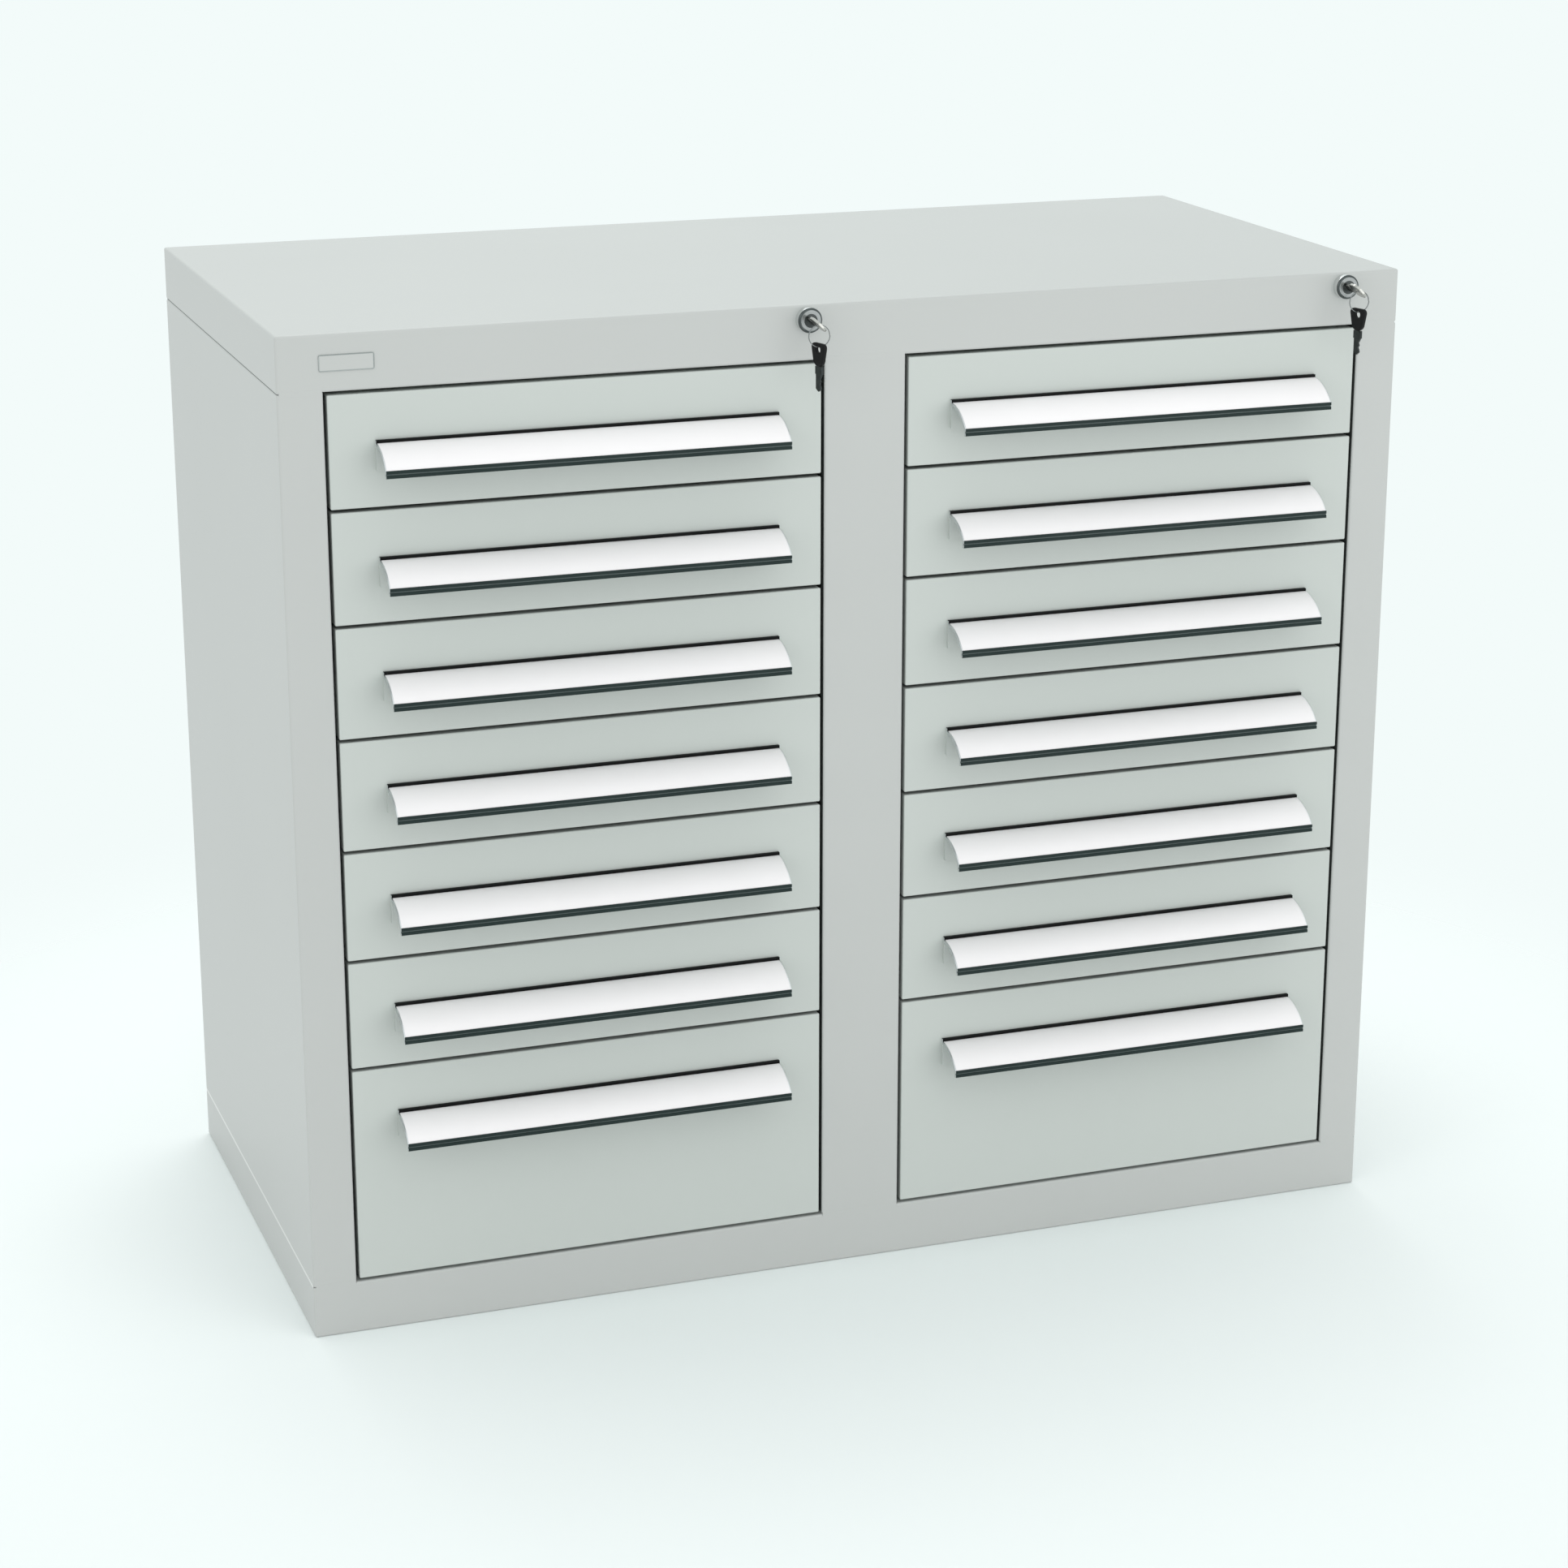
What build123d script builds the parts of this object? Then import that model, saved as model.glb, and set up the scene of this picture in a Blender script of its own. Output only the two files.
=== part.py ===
from build123d import *
import os
from math import atan2, cos, hypot, radians, sin, sqrt

# Steel drawer cabinet: two columns of drawers in a housing of folded sheet panels.
# Lengths are millimetres. +Z is up, the drawer fronts face -Y, and the origin lies on
# the floor under the middle of the whole object, with the keys in its locks.

# Housing
WIDTH = 1035.0  # across both columns
DEPTH = 500.0  # front plane to back
BASE_BAND = 48.5  # height of the base pan
COVER_BAND = 48.5  # height of the top cover
STILE = 39.0  # width of each side panel's front face
POST = 75.0  # width of the centre post
HOUSING_SHEET = 1.2
BACK_SHEET = 1.0
FOLD_RADIUS = 2.0
STILE_LIP = 20.0  # how far the stiles and the post fold back
COVER_LIP = 15.0
BASE_LIP = 25.0
PANEL_FLANGE = 15.0
CUT_OVERRUN = 5.0  # how far every cut runs past the face that it opens

# Drawers, in modules from the bottom of a column to its top
MODULE = 100.0
DRAWER_MODULES = (2, 1, 1, 1, 1, 1, 1)
FRONT_GAP = 3.0
FRONT_THICK = 20.0
FRONT_LIP = 14.0
FRONT_EDGE_RADIUS = 1.2
DRAWER_SHEET = 1.0
TRAY_LIFT = 6.5  # front's lower edge to the tray's floor
TRAY_HEADROOM = 26.5  # tray's rim to the front's upper edge
SKIN_DROP = 4.0  # inner skin's top to the front's upper edge
TRAY_REAR_GAP = 37.0
TRAY_LIP = 8.0

# Grips: a hood with a raised bead behind and a grooved lip in front
GRIP_INSET = 39.5  # front's side edge to the grip's end
GRIP_DROP = 40.0  # front's upper edge to the bead's top
GRIP_HEIGHT = 23.0  # lip's lower edge to the hood at the bead
GRIP_REACH = 36.0
GRIP_WALL = 2.5
GRIP_BEAD = 3.0
BEAD_RISE = 2.5
HOOD_SLOPE = 3.0  # degrees that the hood falls at the bead, before it curves down to the lip
LIP_HEIGHT = 6.0
LIP_PROUD = 1.0
LIP_GROOVE = 1.8

# Slides: a channel on the drawer inside a channel on the housing
SLIDE_WIDTH = 13.0
RAIL_SHEET = 1.5
RAIL_HEIGHT = 34.0
RAIL_LIFT = 20.0  # tray's floor to the middle of the rails
RAIL_CLEARANCE = 0.3
HOUSING_RAIL_GAP = 2.5  # housing rail's flange tips to the tray
DRAWER_RAIL_GAP = 1.5  # drawer rail's flange tips to the housing rail's web
DRAWER_RAIL_INSET = 4.0
RAIL_END_GAP = 4.0
RAIL_FRONT_GAP = 1.0
UPRIGHT_DEPTH = 30.0
UPRIGHT_SHEET = 1.5
UPRIGHT_GAP = 13.0  # lock bar to the front uprights
SCREW_RADIUS = 2.5
SCREW_HEAD_RADIUS = 4.5
SCREW_HEAD = 2.5
SCREW_TAIL = 3.0
SCREW_CLEARANCE = 0.1

# Lock bars, with a tab that drops in front of a catch on each drawer
BAR_GAP = 6.0  # stile's lip to the bar
BAR_SIDE_GAP = 1.5
BAR_WIDTH = 12.0
BAR_THICK = 3.0
BAR_STROKE = 9.0
BAR_END = 20.0
TAB_HEIGHT = 6.0
TAB_GAP = 4.5
CATCH_LIFT = 2.5  # rails' top to the catch
CATCH_GAP = 3.5
CATCH_THICK = 3.0
CATCH_PLAY = 1.0
STUD_RADIUS = 3.0
STUD_CLEARANCE = 0.3
STUD_PROUD = 2.0
STUD_HEIGHT_SHARES = (0.16, 0.72)  # of the bar's length

# Locks
LOCK_INSET = 16.0  # opening's edge to the lock's axis
LOCK_TOP_GAP = 0.3
ROSETTE_RADIUS = 11.0
ROSETTE_REACH = 9.0
ROSETTE_EDGE = 2.5
LOCK_BODY_RADIUS = 9.0
LOCK_HOLE_CLEARANCE = 0.2
NUT_WALL = 2.0
NUT_THICK = 4.0
NUT_CLEARANCE = 0.05
PLUG_RADIUS = 6.0
PLUG_CLEARANCE = 0.05
PLUG_RECESS = 0.4
PLUG_TAIL = 1.0
CAM_RADIUS = 4.5
CAM_THICK = 3.0
CAM_GAP = 4.0
CAM_TURN = 90.0  # degrees
PIN_RADIUS = 2.0
PIN_CLEARANCE = 0.4
PIN_PROUD = 2.0
ARM_WALL = 3.0
ARM_END = 4.0

# Keys: a flat one in each lock, with a spare that hangs on a ring through its bow
KEY_PLAY = 0.4
NECK_LENGTH = 7.0
NECK_WIDTH = 9.0
BLADE_LENGTH = 15.0
BLADE_WIDTH = 7.0
BLADE_THICK = 2.2
BLADE_TIP = 2.0
KEYWAY_CLEARANCE = 0.2
BOW_LENGTH = 19.0
BOW_WIDTH = 17.0
BOW_CORNER = 7.0
BOW_HOLE_RADIUS = 3.0
BOW_HOLE_EDGE = 5.5  # bow's end to the middle of its hole
SPARE_BOW_LENGTH = 20.0
SPARE_BOW_WIDTH = 20.0
SPARE_BOW_THICK = 3.6
SPARE_BOW_CORNER = 5.0
SPARE_TWIST = 72.0  # degrees
RING_RADIUS = 9.5
RING_WIRE = 0.5
RING_CLEARANCE = 0.4

# Places along the depth
spare_twist = radians(SPARE_TWIST)
key_reach = ROSETTE_REACH + KEY_PLAY + NECK_LENGTH + BOW_LENGTH
ring_reach = key_reach - BOW_HOLE_EDGE
spare_reach = ring_reach + (SPARE_BOW_WIDTH * sin(spare_twist) + SPARE_BOW_THICK * cos(spare_twist)) / 2
front_y = (max(key_reach, spare_reach, GRIP_REACH) - DEPTH) / 2
back_y = front_y + DEPTH
housing_y = (front_y, back_y)
lip_y = front_y + STILE_LIP
tray_y = (front_y + FRONT_THICK, back_y - HOUSING_SHEET - BACK_SHEET - TRAY_REAR_GAP)
bar_y = (lip_y + BAR_GAP, lip_y + BAR_GAP + BAR_THICK)
catch_y = (bar_y[1] + CATCH_PLAY, bar_y[1] + CATCH_PLAY + CATCH_THICK)
inside_back_y = back_y - HOUSING_SHEET - BACK_SHEET
front_upright_y = (bar_y[1] + UPRIGHT_GAP, bar_y[1] + UPRIGHT_GAP + UPRIGHT_DEPTH)
rear_upright_y = (inside_back_y - UPRIGHT_DEPTH, inside_back_y)
housing_rail_y = (bar_y[1] + RAIL_FRONT_GAP, inside_back_y - RAIL_END_GAP)
drawer_rail_y = (tray_y[0] + DRAWER_RAIL_INSET, tray_y[1] - DRAWER_RAIL_INSET)
screw_ys = (sum(front_upright_y) / 2, sum(rear_upright_y) / 2)

# Places across the width
half_width = WIDTH / 2
opening_width = (WIDTH - 2 * STILE - POST) / 2
front_width = opening_width - 2 * FRONT_GAP
tray_width = opening_width - 2 * SLIDE_WIDTH
grip_length = front_width - 2 * GRIP_INSET
column_offset = (POST + opening_width) / 2
columns = {"left": -column_offset, "right": column_offset}

# Places up the height
opening_height = sum(DRAWER_MODULES) * MODULE + FRONT_GAP
opening_top = BASE_BAND + opening_height
height = opening_top + COVER_BAND
nut_radius = LOCK_BODY_RADIUS + NUT_WALL
lock_z = height - HOUSING_SHEET - LOCK_TOP_GAP - max(nut_radius, ROSETTE_RADIUS)

# Lock mechanism: the cam's pin swings from above the axis to below it
cam_half_turn = radians(CAM_TURN / 2)
pin_offset = BAR_STROKE / (2 * sin(cam_half_turn))
pin_rise = pin_offset * sin(cam_half_turn)
pin_side = pin_offset * cos(cam_half_turn)
pin_room = PIN_RADIUS + PIN_CLEARANCE
cam_y = (bar_y[0] - CAM_GAP - CAM_THICK, bar_y[0] - CAM_GAP)
lock_body_end = cam_y[0] - PLUG_TAIL
lock_face_y = front_y - ROSETTE_REACH
shoulder_y = lock_face_y - KEY_PLAY - NECK_LENGTH
key_side = (-sin(cam_half_turn), 0, cos(cam_half_turn))  # across the blade of a key at rest


def ends_about(middle, size):
    return (middle - size / 2, middle + size / 2)


def block(x_ends, y_ends, z_ends, mode=Mode.ADD):
    spans = (x_ends, y_ends, z_ends)
    with Locations(tuple(sum(span) / 2 for span in spans)):
        Box(*(abs(span[1] - span[0]) for span in spans), mode=mode)


def rod_along_x(radius, x_ends, y, z, mode=Mode.ADD):
    with Locations((sum(x_ends) / 2, y, z)):
        Cylinder(radius, abs(x_ends[1] - x_ends[0]), rotation=(0, 90, 0), mode=mode)


def rod_along_y(radius, x, y_ends, z, mode=Mode.ADD):
    with Locations((x, sum(y_ends) / 2, z)):
        Cylinder(radius, abs(y_ends[1] - y_ends[0]), rotation=(90, 0, 0), mode=mode)


def group(*parts):
    return Compound([solid for part in parts for solid in part.solids()])


def list_drawers():
    # Number from the top, lower edge and upper edge of each drawer front in a column
    drawers = []
    lower = BASE_BAND + FRONT_GAP
    for step, modules in enumerate(DRAWER_MODULES):
        drawers.append((len(DRAWER_MODULES) - step, lower, lower + modules * MODULE - FRONT_GAP))
        lower += modules * MODULE
    return drawers


drawers = list_drawers()
rail_levels = [lower + TRAY_LIFT + RAIL_LIFT for number, lower, upper in drawers]
catch_levels = [level + RAIL_HEIGHT / 2 + CATCH_LIFT for level in rail_levels]
slide_sides = [(x, side) for x in columns.values() for side in (-1, 1)]
pieces = {}

# Top cover: a pan, open below, with a lip round its mouth and a hole for each lock
cover_z = (opening_top, height)
with BuildPart() as top_cover:
    block(ends_about(0, WIDTH), housing_y, cover_z)
    fillet(top_cover.edges(), FOLD_RADIUS)
    block(
        ends_about(0, WIDTH - 2 * HOUSING_SHEET),
        (front_y + HOUSING_SHEET, back_y - HOUSING_SHEET),
        (opening_top + HOUSING_SHEET, height - HOUSING_SHEET),
        Mode.SUBTRACT,
    )
    block(
        ends_about(0, WIDTH - 2 * COVER_LIP),
        (front_y + COVER_LIP, back_y - COVER_LIP),
        (opening_top - CUT_OVERRUN, opening_top + HOUSING_SHEET),
        Mode.SUBTRACT,
    )
    for column_x in columns.values():
        rod_along_y(
            LOCK_BODY_RADIUS + LOCK_HOLE_CLEARANCE,
            column_x + opening_width / 2 - LOCK_INSET,
            (front_y - CUT_OVERRUN, front_y + HOUSING_SHEET),
            lock_z,
            Mode.SUBTRACT,
        )
pieces["top_cover"] = top_cover.part

# Base pan: the same pan for the foot, whose lip stands on the floor
with BuildPart() as base_pan:
    block(ends_about(0, WIDTH), housing_y, (0, BASE_BAND))
    fillet(base_pan.edges(), FOLD_RADIUS)
    block(
        ends_about(0, WIDTH - 2 * HOUSING_SHEET),
        (front_y + HOUSING_SHEET, back_y - HOUSING_SHEET),
        (HOUSING_SHEET, BASE_BAND - HOUSING_SHEET),
        Mode.SUBTRACT,
    )
    block(
        ends_about(0, WIDTH - 2 * BASE_LIP),
        (front_y + BASE_LIP, back_y - BASE_LIP),
        (-CUT_OVERRUN, HOUSING_SHEET),
        Mode.SUBTRACT,
    )
pieces["base_pan"] = base_pan.part


def make_side_panel(side):
    # Wall with a front stile that folds back, a rear flange and short flanges above and below
    wall_x = side * half_width
    inner_x = side * (half_width - STILE)
    hollow_x = side * (half_width - HOUSING_SHEET)
    hollow_z = (BASE_BAND + HOUSING_SHEET, opening_top - HOUSING_SHEET)
    open_x = inner_x - side * CUT_OVERRUN
    with BuildPart() as side_panel:
        block((wall_x, inner_x), housing_y, (BASE_BAND, opening_top))
        open_edges = side_panel.faces().sort_by(Axis.X)[-1 if side < 0 else 0].edges()
        folds = side_panel.edges() - open_edges + open_edges.sort_by(Axis.Y)[:1]
        fillet(folds, FOLD_RADIUS)
        block(
            (hollow_x, inner_x + side * HOUSING_SHEET),
            (front_y + HOUSING_SHEET, lip_y),
            hollow_z,
            Mode.SUBTRACT,
        )
        block((hollow_x, open_x), (lip_y, back_y - HOUSING_SHEET), hollow_z, Mode.SUBTRACT)
        block(
            (side * (half_width - PANEL_FLANGE), open_x),
            (lip_y, back_y - PANEL_FLANGE),
            (BASE_BAND - CUT_OVERRUN, opening_top + CUT_OVERRUN),
            Mode.SUBTRACT,
        )
    return side_panel.part


pieces["left_side_panel"] = make_side_panel(-1)
pieces["right_side_panel"] = make_side_panel(1)

# Centre post: a channel between the columns
with BuildPart() as centre_post:
    block(ends_about(0, POST), (front_y, lip_y), (BASE_BAND, opening_top))
    fillet(centre_post.edges() - centre_post.faces().sort_by(Axis.Y)[-1].edges(), FOLD_RADIUS)
    block(
        ends_about(0, POST - 2 * HOUSING_SHEET),
        (front_y + HOUSING_SHEET, lip_y + CUT_OVERRUN),
        (BASE_BAND + HOUSING_SHEET, opening_top - HOUSING_SHEET),
        Mode.SUBTRACT,
    )
pieces["centre_post"] = centre_post.part

# Back panel: a sheet that lies on the side panels' rear flanges
with BuildPart() as back_panel:
    block(
        ends_about(0, WIDTH - 2 * HOUSING_SHEET),
        (inside_back_y, inside_back_y + BACK_SHEET),
        (BASE_BAND + HOUSING_SHEET, opening_top - HOUSING_SHEET),
    )
pieces["back_panel"] = back_panel.part


def lock_bar_x(column_x):
    near = column_x + opening_width / 2 + BAR_SIDE_GAP
    return (near, near + BAR_WIDTH)


def lock_bar_z():
    low = min(catch_levels) + BAR_STROKE - BAR_END
    high = lock_z + pin_rise + pin_room + ARM_WALL
    return (low, high)


def stud_levels():
    low, high = lock_bar_z()
    return [low + share * (high - low) for share in STUD_HEIGHT_SHARES]


def make_upright(x_ends, y_ends, z_ends, screw_faces, stud_xs):
    # Tube with a screw hole for each rail, and studs in front where it guides a lock bar
    x_low, x_high = x_ends
    y_low, y_high = y_ends
    with BuildPart() as upright:
        block(x_ends, y_ends, z_ends)
        block(
            (x_low + UPRIGHT_SHEET, x_high - UPRIGHT_SHEET),
            (y_low + UPRIGHT_SHEET, y_high - UPRIGHT_SHEET),
            (z_ends[0] - CUT_OVERRUN, z_ends[1] + CUT_OVERRUN),
            Mode.SUBTRACT,
        )
        for face_x, side in screw_faces:
            for level in rail_levels:
                rod_along_x(
                    SCREW_RADIUS + SCREW_CLEARANCE,
                    (face_x - side * CUT_OVERRUN, face_x + side * UPRIGHT_SHEET),
                    sum(y_ends) / 2,
                    level,
                    Mode.SUBTRACT,
                )
        for stud_x in stud_xs:
            for level in stud_levels():
                rod_along_y(STUD_RADIUS, stud_x, (bar_y[0] - STUD_PROUD, y_low), level)
    return upright.part


def make_uprights():
    side_z = (BASE_BAND + HOUSING_SHEET, opening_top - HOUSING_SHEET)
    outer_x = half_width - HOUSING_SHEET
    inner_x = half_width - STILE
    left_stud = sum(lock_bar_x(columns["left"])) / 2
    right_stud = sum(lock_bar_x(columns["right"])) / 2
    centre_faces = [(-POST / 2, 1), (POST / 2, -1)]
    uprights = []
    for y_ends, guides in ((front_upright_y, True), (rear_upright_y, False)):
        uprights.append(make_upright((-outer_x, -inner_x), y_ends, side_z, [(-inner_x, -1)], []))
        uprights.append(
            make_upright(
                ends_about(0, POST), y_ends, (BASE_BAND, opening_top),
                centre_faces, [left_stud] if guides else [],
            )
        )
        uprights.append(
            make_upright(
                (inner_x, outer_x), y_ends, side_z, [(inner_x, 1)], [right_stud] if guides else []
            )
        )
    return uprights


pieces["slide_uprights"] = group(*make_uprights())


def make_housing_rail(column_x, side, level):
    edge_x = column_x + side * opening_width / 2
    tip_x = edge_x - side * (SLIDE_WIDTH - HOUSING_RAIL_GAP)
    web_x = edge_x - side * RAIL_SHEET
    with BuildPart() as housing_rail:
        block((edge_x, tip_x), housing_rail_y, ends_about(level, RAIL_HEIGHT))
        block(
            (web_x, tip_x - side * CUT_OVERRUN),
            (housing_rail_y[0] - CUT_OVERRUN, housing_rail_y[1] + CUT_OVERRUN),
            ends_about(level, RAIL_HEIGHT - 2 * RAIL_SHEET),
            Mode.SUBTRACT,
        )
        for screw_y in screw_ys:
            rod_along_x(
                SCREW_RADIUS + SCREW_CLEARANCE,
                (edge_x + side * CUT_OVERRUN, web_x),
                screw_y,
                level,
                Mode.SUBTRACT,
            )
    return housing_rail.part


def make_slide_screw(column_x, side, level, screw_y):
    edge_x = column_x + side * opening_width / 2
    web_x = edge_x - side * RAIL_SHEET
    with BuildPart() as slide_screw:
        rod_along_x(SCREW_HEAD_RADIUS, (web_x - side * SCREW_HEAD, web_x), screw_y, level)
        rod_along_x(
            SCREW_RADIUS,
            (web_x, edge_x + side * (UPRIGHT_SHEET + SCREW_TAIL)),
            screw_y,
            level,
        )
    return slide_screw.part


pieces["housing_rails"] = group(
    *(make_housing_rail(x, side, level) for x, side in slide_sides for level in rail_levels)
)
pieces["slide_screws"] = group(
    *(
        make_slide_screw(x, side, level, screw_y)
        for x, side in slide_sides
        for level in rail_levels
        for screw_y in screw_ys
    )
)


def make_front(column_x, lower, upper):
    # Folded pan whose back is closed by the tray's inner skin
    front_y_ends = (front_y, front_y + FRONT_THICK)
    with BuildPart() as front:
        block(ends_about(column_x, front_width), front_y_ends, (lower, upper))
        fillet(front.edges(), FRONT_EDGE_RADIUS)
        block(
            ends_about(column_x, front_width - 2 * DRAWER_SHEET),
            (front_y + DRAWER_SHEET, front_y + FRONT_THICK - DRAWER_SHEET),
            (lower + DRAWER_SHEET, upper - DRAWER_SHEET),
            Mode.SUBTRACT,
        )
        block(
            ends_about(column_x, front_width - 2 * FRONT_LIP),
            (front_y + FRONT_THICK - DRAWER_SHEET, front_y + FRONT_THICK + CUT_OVERRUN),
            (lower + FRONT_LIP, upper - FRONT_LIP),
            Mode.SUBTRACT,
        )
    return front.part


def make_grip(column_x, upper):
    # Section of the hood, from its bead over to its lip and back inside
    bead_top = upper - GRIP_DROP
    hood_top = bead_top - BEAD_RISE
    lip_low = hood_top - GRIP_HEIGHT
    lip_top = lip_low + LIP_HEIGHT
    groove_low = lip_low + (LIP_HEIGHT - LIP_GROOVE) / 2
    bead_y = front_y - GRIP_BEAD
    flange_y = front_y - GRIP_WALL
    lip_y_face = front_y - GRIP_REACH
    hood_y = lip_y_face + LIP_PROUD
    inner_y = hood_y + GRIP_WALL
    # One arc outside and one inside, round the same middle
    slope = radians(HOOD_SLOPE)
    run, fall = bead_y - hood_y, hood_top - lip_top
    hood_radius = hypot(run, fall) / (2 * sin(atan2(fall, run) - slope))
    middle_y = bead_y + hood_radius * sin(slope)
    middle_z = hood_top - hood_radius * cos(slope)
    inner_radius = hood_radius - GRIP_WALL
    flange_rise = sqrt(inner_radius**2 - (middle_y - flange_y) ** 2)
    inner_rise = sqrt(inner_radius**2 - (middle_y - inner_y) ** 2)
    flange_top = (flange_y, middle_z + flange_rise)
    inner_end = (inner_y, middle_z + inner_rise)
    with BuildPart() as grip:
        with BuildSketch(Plane.YZ.offset(column_x - grip_length / 2)):
            with BuildLine():
                Polyline(flange_top, (flange_y, lip_low), (front_y, lip_low), (front_y, bead_top))
                Polyline((front_y, bead_top), (bead_y, bead_top), (bead_y, hood_top))
                TangentArc((bead_y, hood_top), (hood_y, lip_top), tangent=(-cos(slope), -sin(slope)))
                Polyline(
                    (hood_y, lip_top),
                    (lip_y_face, lip_top),
                    (lip_y_face, groove_low + LIP_GROOVE),
                    (hood_y, groove_low + LIP_GROOVE),
                    (hood_y, groove_low),
                    (lip_y_face, groove_low),
                    (lip_y_face, lip_low),
                    (inner_y, lip_low),
                    inner_end,
                )
                TangentArc(flange_top, inner_end, tangent=(-flange_rise, flange_y - middle_y))
            make_face()
        extrude(amount=grip_length)
    return grip.part


def make_tray(column_x, lower, upper):
    floor_z = lower + TRAY_LIFT
    rim_z = upper - TRAY_HEADROOM
    inner_y = (tray_y[0] + DRAWER_SHEET, tray_y[1] - DRAWER_SHEET)
    with BuildPart() as tray:
        block(ends_about(column_x, tray_width), tray_y, (floor_z, rim_z))
        block(
            ends_about(column_x, tray_width - 2 * DRAWER_SHEET),
            inner_y,
            (floor_z + DRAWER_SHEET, rim_z - DRAWER_SHEET),
            Mode.SUBTRACT,
        )
        block(
            ends_about(column_x, tray_width - 2 * TRAY_LIP),
            (inner_y[0], tray_y[1] - TRAY_LIP),
            (rim_z - DRAWER_SHEET, rim_z + CUT_OVERRUN),
            Mode.SUBTRACT,
        )
        block(ends_about(column_x, tray_width), (tray_y[0], inner_y[0]), (rim_z, upper - SKIN_DROP))
    return tray.part


def make_drawer_rail(column_x, side, level):
    rail_height = RAIL_HEIGHT - 2 * (RAIL_SHEET + RAIL_CLEARANCE)
    tray_x = column_x + side * tray_width / 2
    tip_x = tray_x + side * (SLIDE_WIDTH - RAIL_SHEET - DRAWER_RAIL_GAP)
    with BuildPart() as drawer_rail:
        block((tray_x, tip_x), drawer_rail_y, ends_about(level, rail_height))
        block(
            (tray_x + side * RAIL_SHEET, tip_x + side * CUT_OVERRUN),
            (drawer_rail_y[0] - CUT_OVERRUN, drawer_rail_y[1] + CUT_OVERRUN),
            ends_about(level, rail_height - 2 * RAIL_SHEET),
            Mode.SUBTRACT,
        )
    return drawer_rail.part


def make_catch(column_x, level):
    tray_x = column_x + tray_width / 2
    with BuildPart() as catch:
        block((tray_x, tray_x + SLIDE_WIDTH - CATCH_GAP), catch_y, (level, level + TAB_HEIGHT))
    return catch.part


for column, column_x in columns.items():
    for (number, lower, upper), rail_level, catch_level in zip(drawers, rail_levels, catch_levels):
        drawer = f"{column}_drawer_{number}"
        pieces[f"{drawer}_front"] = make_front(column_x, lower, upper)
        pieces[f"{drawer}_grip"] = make_grip(column_x, upper)
        pieces[f"{drawer}_tray"] = group(
            make_tray(column_x, lower, upper),
            make_drawer_rail(column_x, -1, rail_level),
            make_drawer_rail(column_x, 1, rail_level),
            make_catch(column_x, catch_level),
        )


def make_lock_bar(column_x):
    # Flat strip with an arm for the cam's pin, tabs for the drawers and slots for the studs
    bar_x = lock_bar_x(column_x)
    low, high = lock_bar_z()
    lock_x = column_x + opening_width / 2 - LOCK_INSET
    pin_z = lock_z + pin_rise
    slot_x = (lock_x + pin_side - pin_room, lock_x + pin_offset + pin_room)
    tab_x = column_x + opening_width / 2 - SLIDE_WIDTH + TAB_GAP
    stud_room = STUD_RADIUS + STUD_CLEARANCE
    with BuildPart() as lock_bar:
        block(bar_x, bar_y, (low, high))
        block((slot_x[0] - ARM_END, bar_x[1]), bar_y, (pin_z - pin_room - ARM_WALL, high))
        for level in catch_levels:
            block((tab_x, bar_x[1]), bar_y, (level + BAR_STROKE, level + BAR_STROKE + TAB_HEIGHT))
        block(
            slot_x,
            (bar_y[0] - CUT_OVERRUN, bar_y[1] + CUT_OVERRUN),
            ends_about(pin_z, 2 * pin_room),
            Mode.SUBTRACT,
        )
        with BuildSketch(Plane.XZ.offset(-bar_y[1])):
            for level in stud_levels():
                with Locations((sum(bar_x) / 2, level + BAR_STROKE / 2)):
                    SlotCenterToCenter(BAR_STROKE, 2 * stud_room, rotation=90)
        extrude(amount=BAR_THICK, mode=Mode.SUBTRACT)
    return lock_bar.part


def make_lock_housing(lock_x):
    with BuildPart() as lock_housing:
        rod_along_y(ROSETTE_RADIUS, lock_x, (lock_face_y, front_y), lock_z)
        fillet(lock_housing.edges().filter_by(GeomType.CIRCLE).sort_by(Axis.Y)[0], ROSETTE_EDGE)
        rod_along_y(LOCK_BODY_RADIUS, lock_x, (front_y, lock_body_end), lock_z)
        rod_along_y(
            PLUG_RADIUS + PLUG_CLEARANCE,
            lock_x,
            (lock_face_y - CUT_OVERRUN, lock_body_end + CUT_OVERRUN),
            lock_z,
            Mode.SUBTRACT,
        )
    return lock_housing.part


def make_lock_nut(lock_x):
    nut_y = (front_y + HOUSING_SHEET, front_y + HOUSING_SHEET + NUT_THICK)
    with BuildPart() as lock_nut:
        rod_along_y(nut_radius, lock_x, nut_y, lock_z)
        rod_along_y(
            LOCK_BODY_RADIUS + NUT_CLEARANCE,
            lock_x,
            (nut_y[0] - CUT_OVERRUN, nut_y[1] + CUT_OVERRUN),
            lock_z,
            Mode.SUBTRACT,
        )
    return lock_nut.part


def make_plug(lock_x):
    keyway_end_y = lock_face_y - KEY_PLAY + BLADE_LENGTH + KEYWAY_CLEARANCE
    with BuildPart() as plug:
        rod_along_y(PLUG_RADIUS, lock_x, (lock_face_y + PLUG_RECESS, cam_y[0]), lock_z)
        with BuildSketch(Plane((lock_x, keyway_end_y, lock_z), x_dir=key_side, z_dir=(0, -1, 0))):
            Rectangle(BLADE_WIDTH + 2 * KEYWAY_CLEARANCE, BLADE_THICK + 2 * KEYWAY_CLEARANCE)
        extrude(amount=BLADE_LENGTH + CUT_OVERRUN, mode=Mode.SUBTRACT)
    return plug.part


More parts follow.
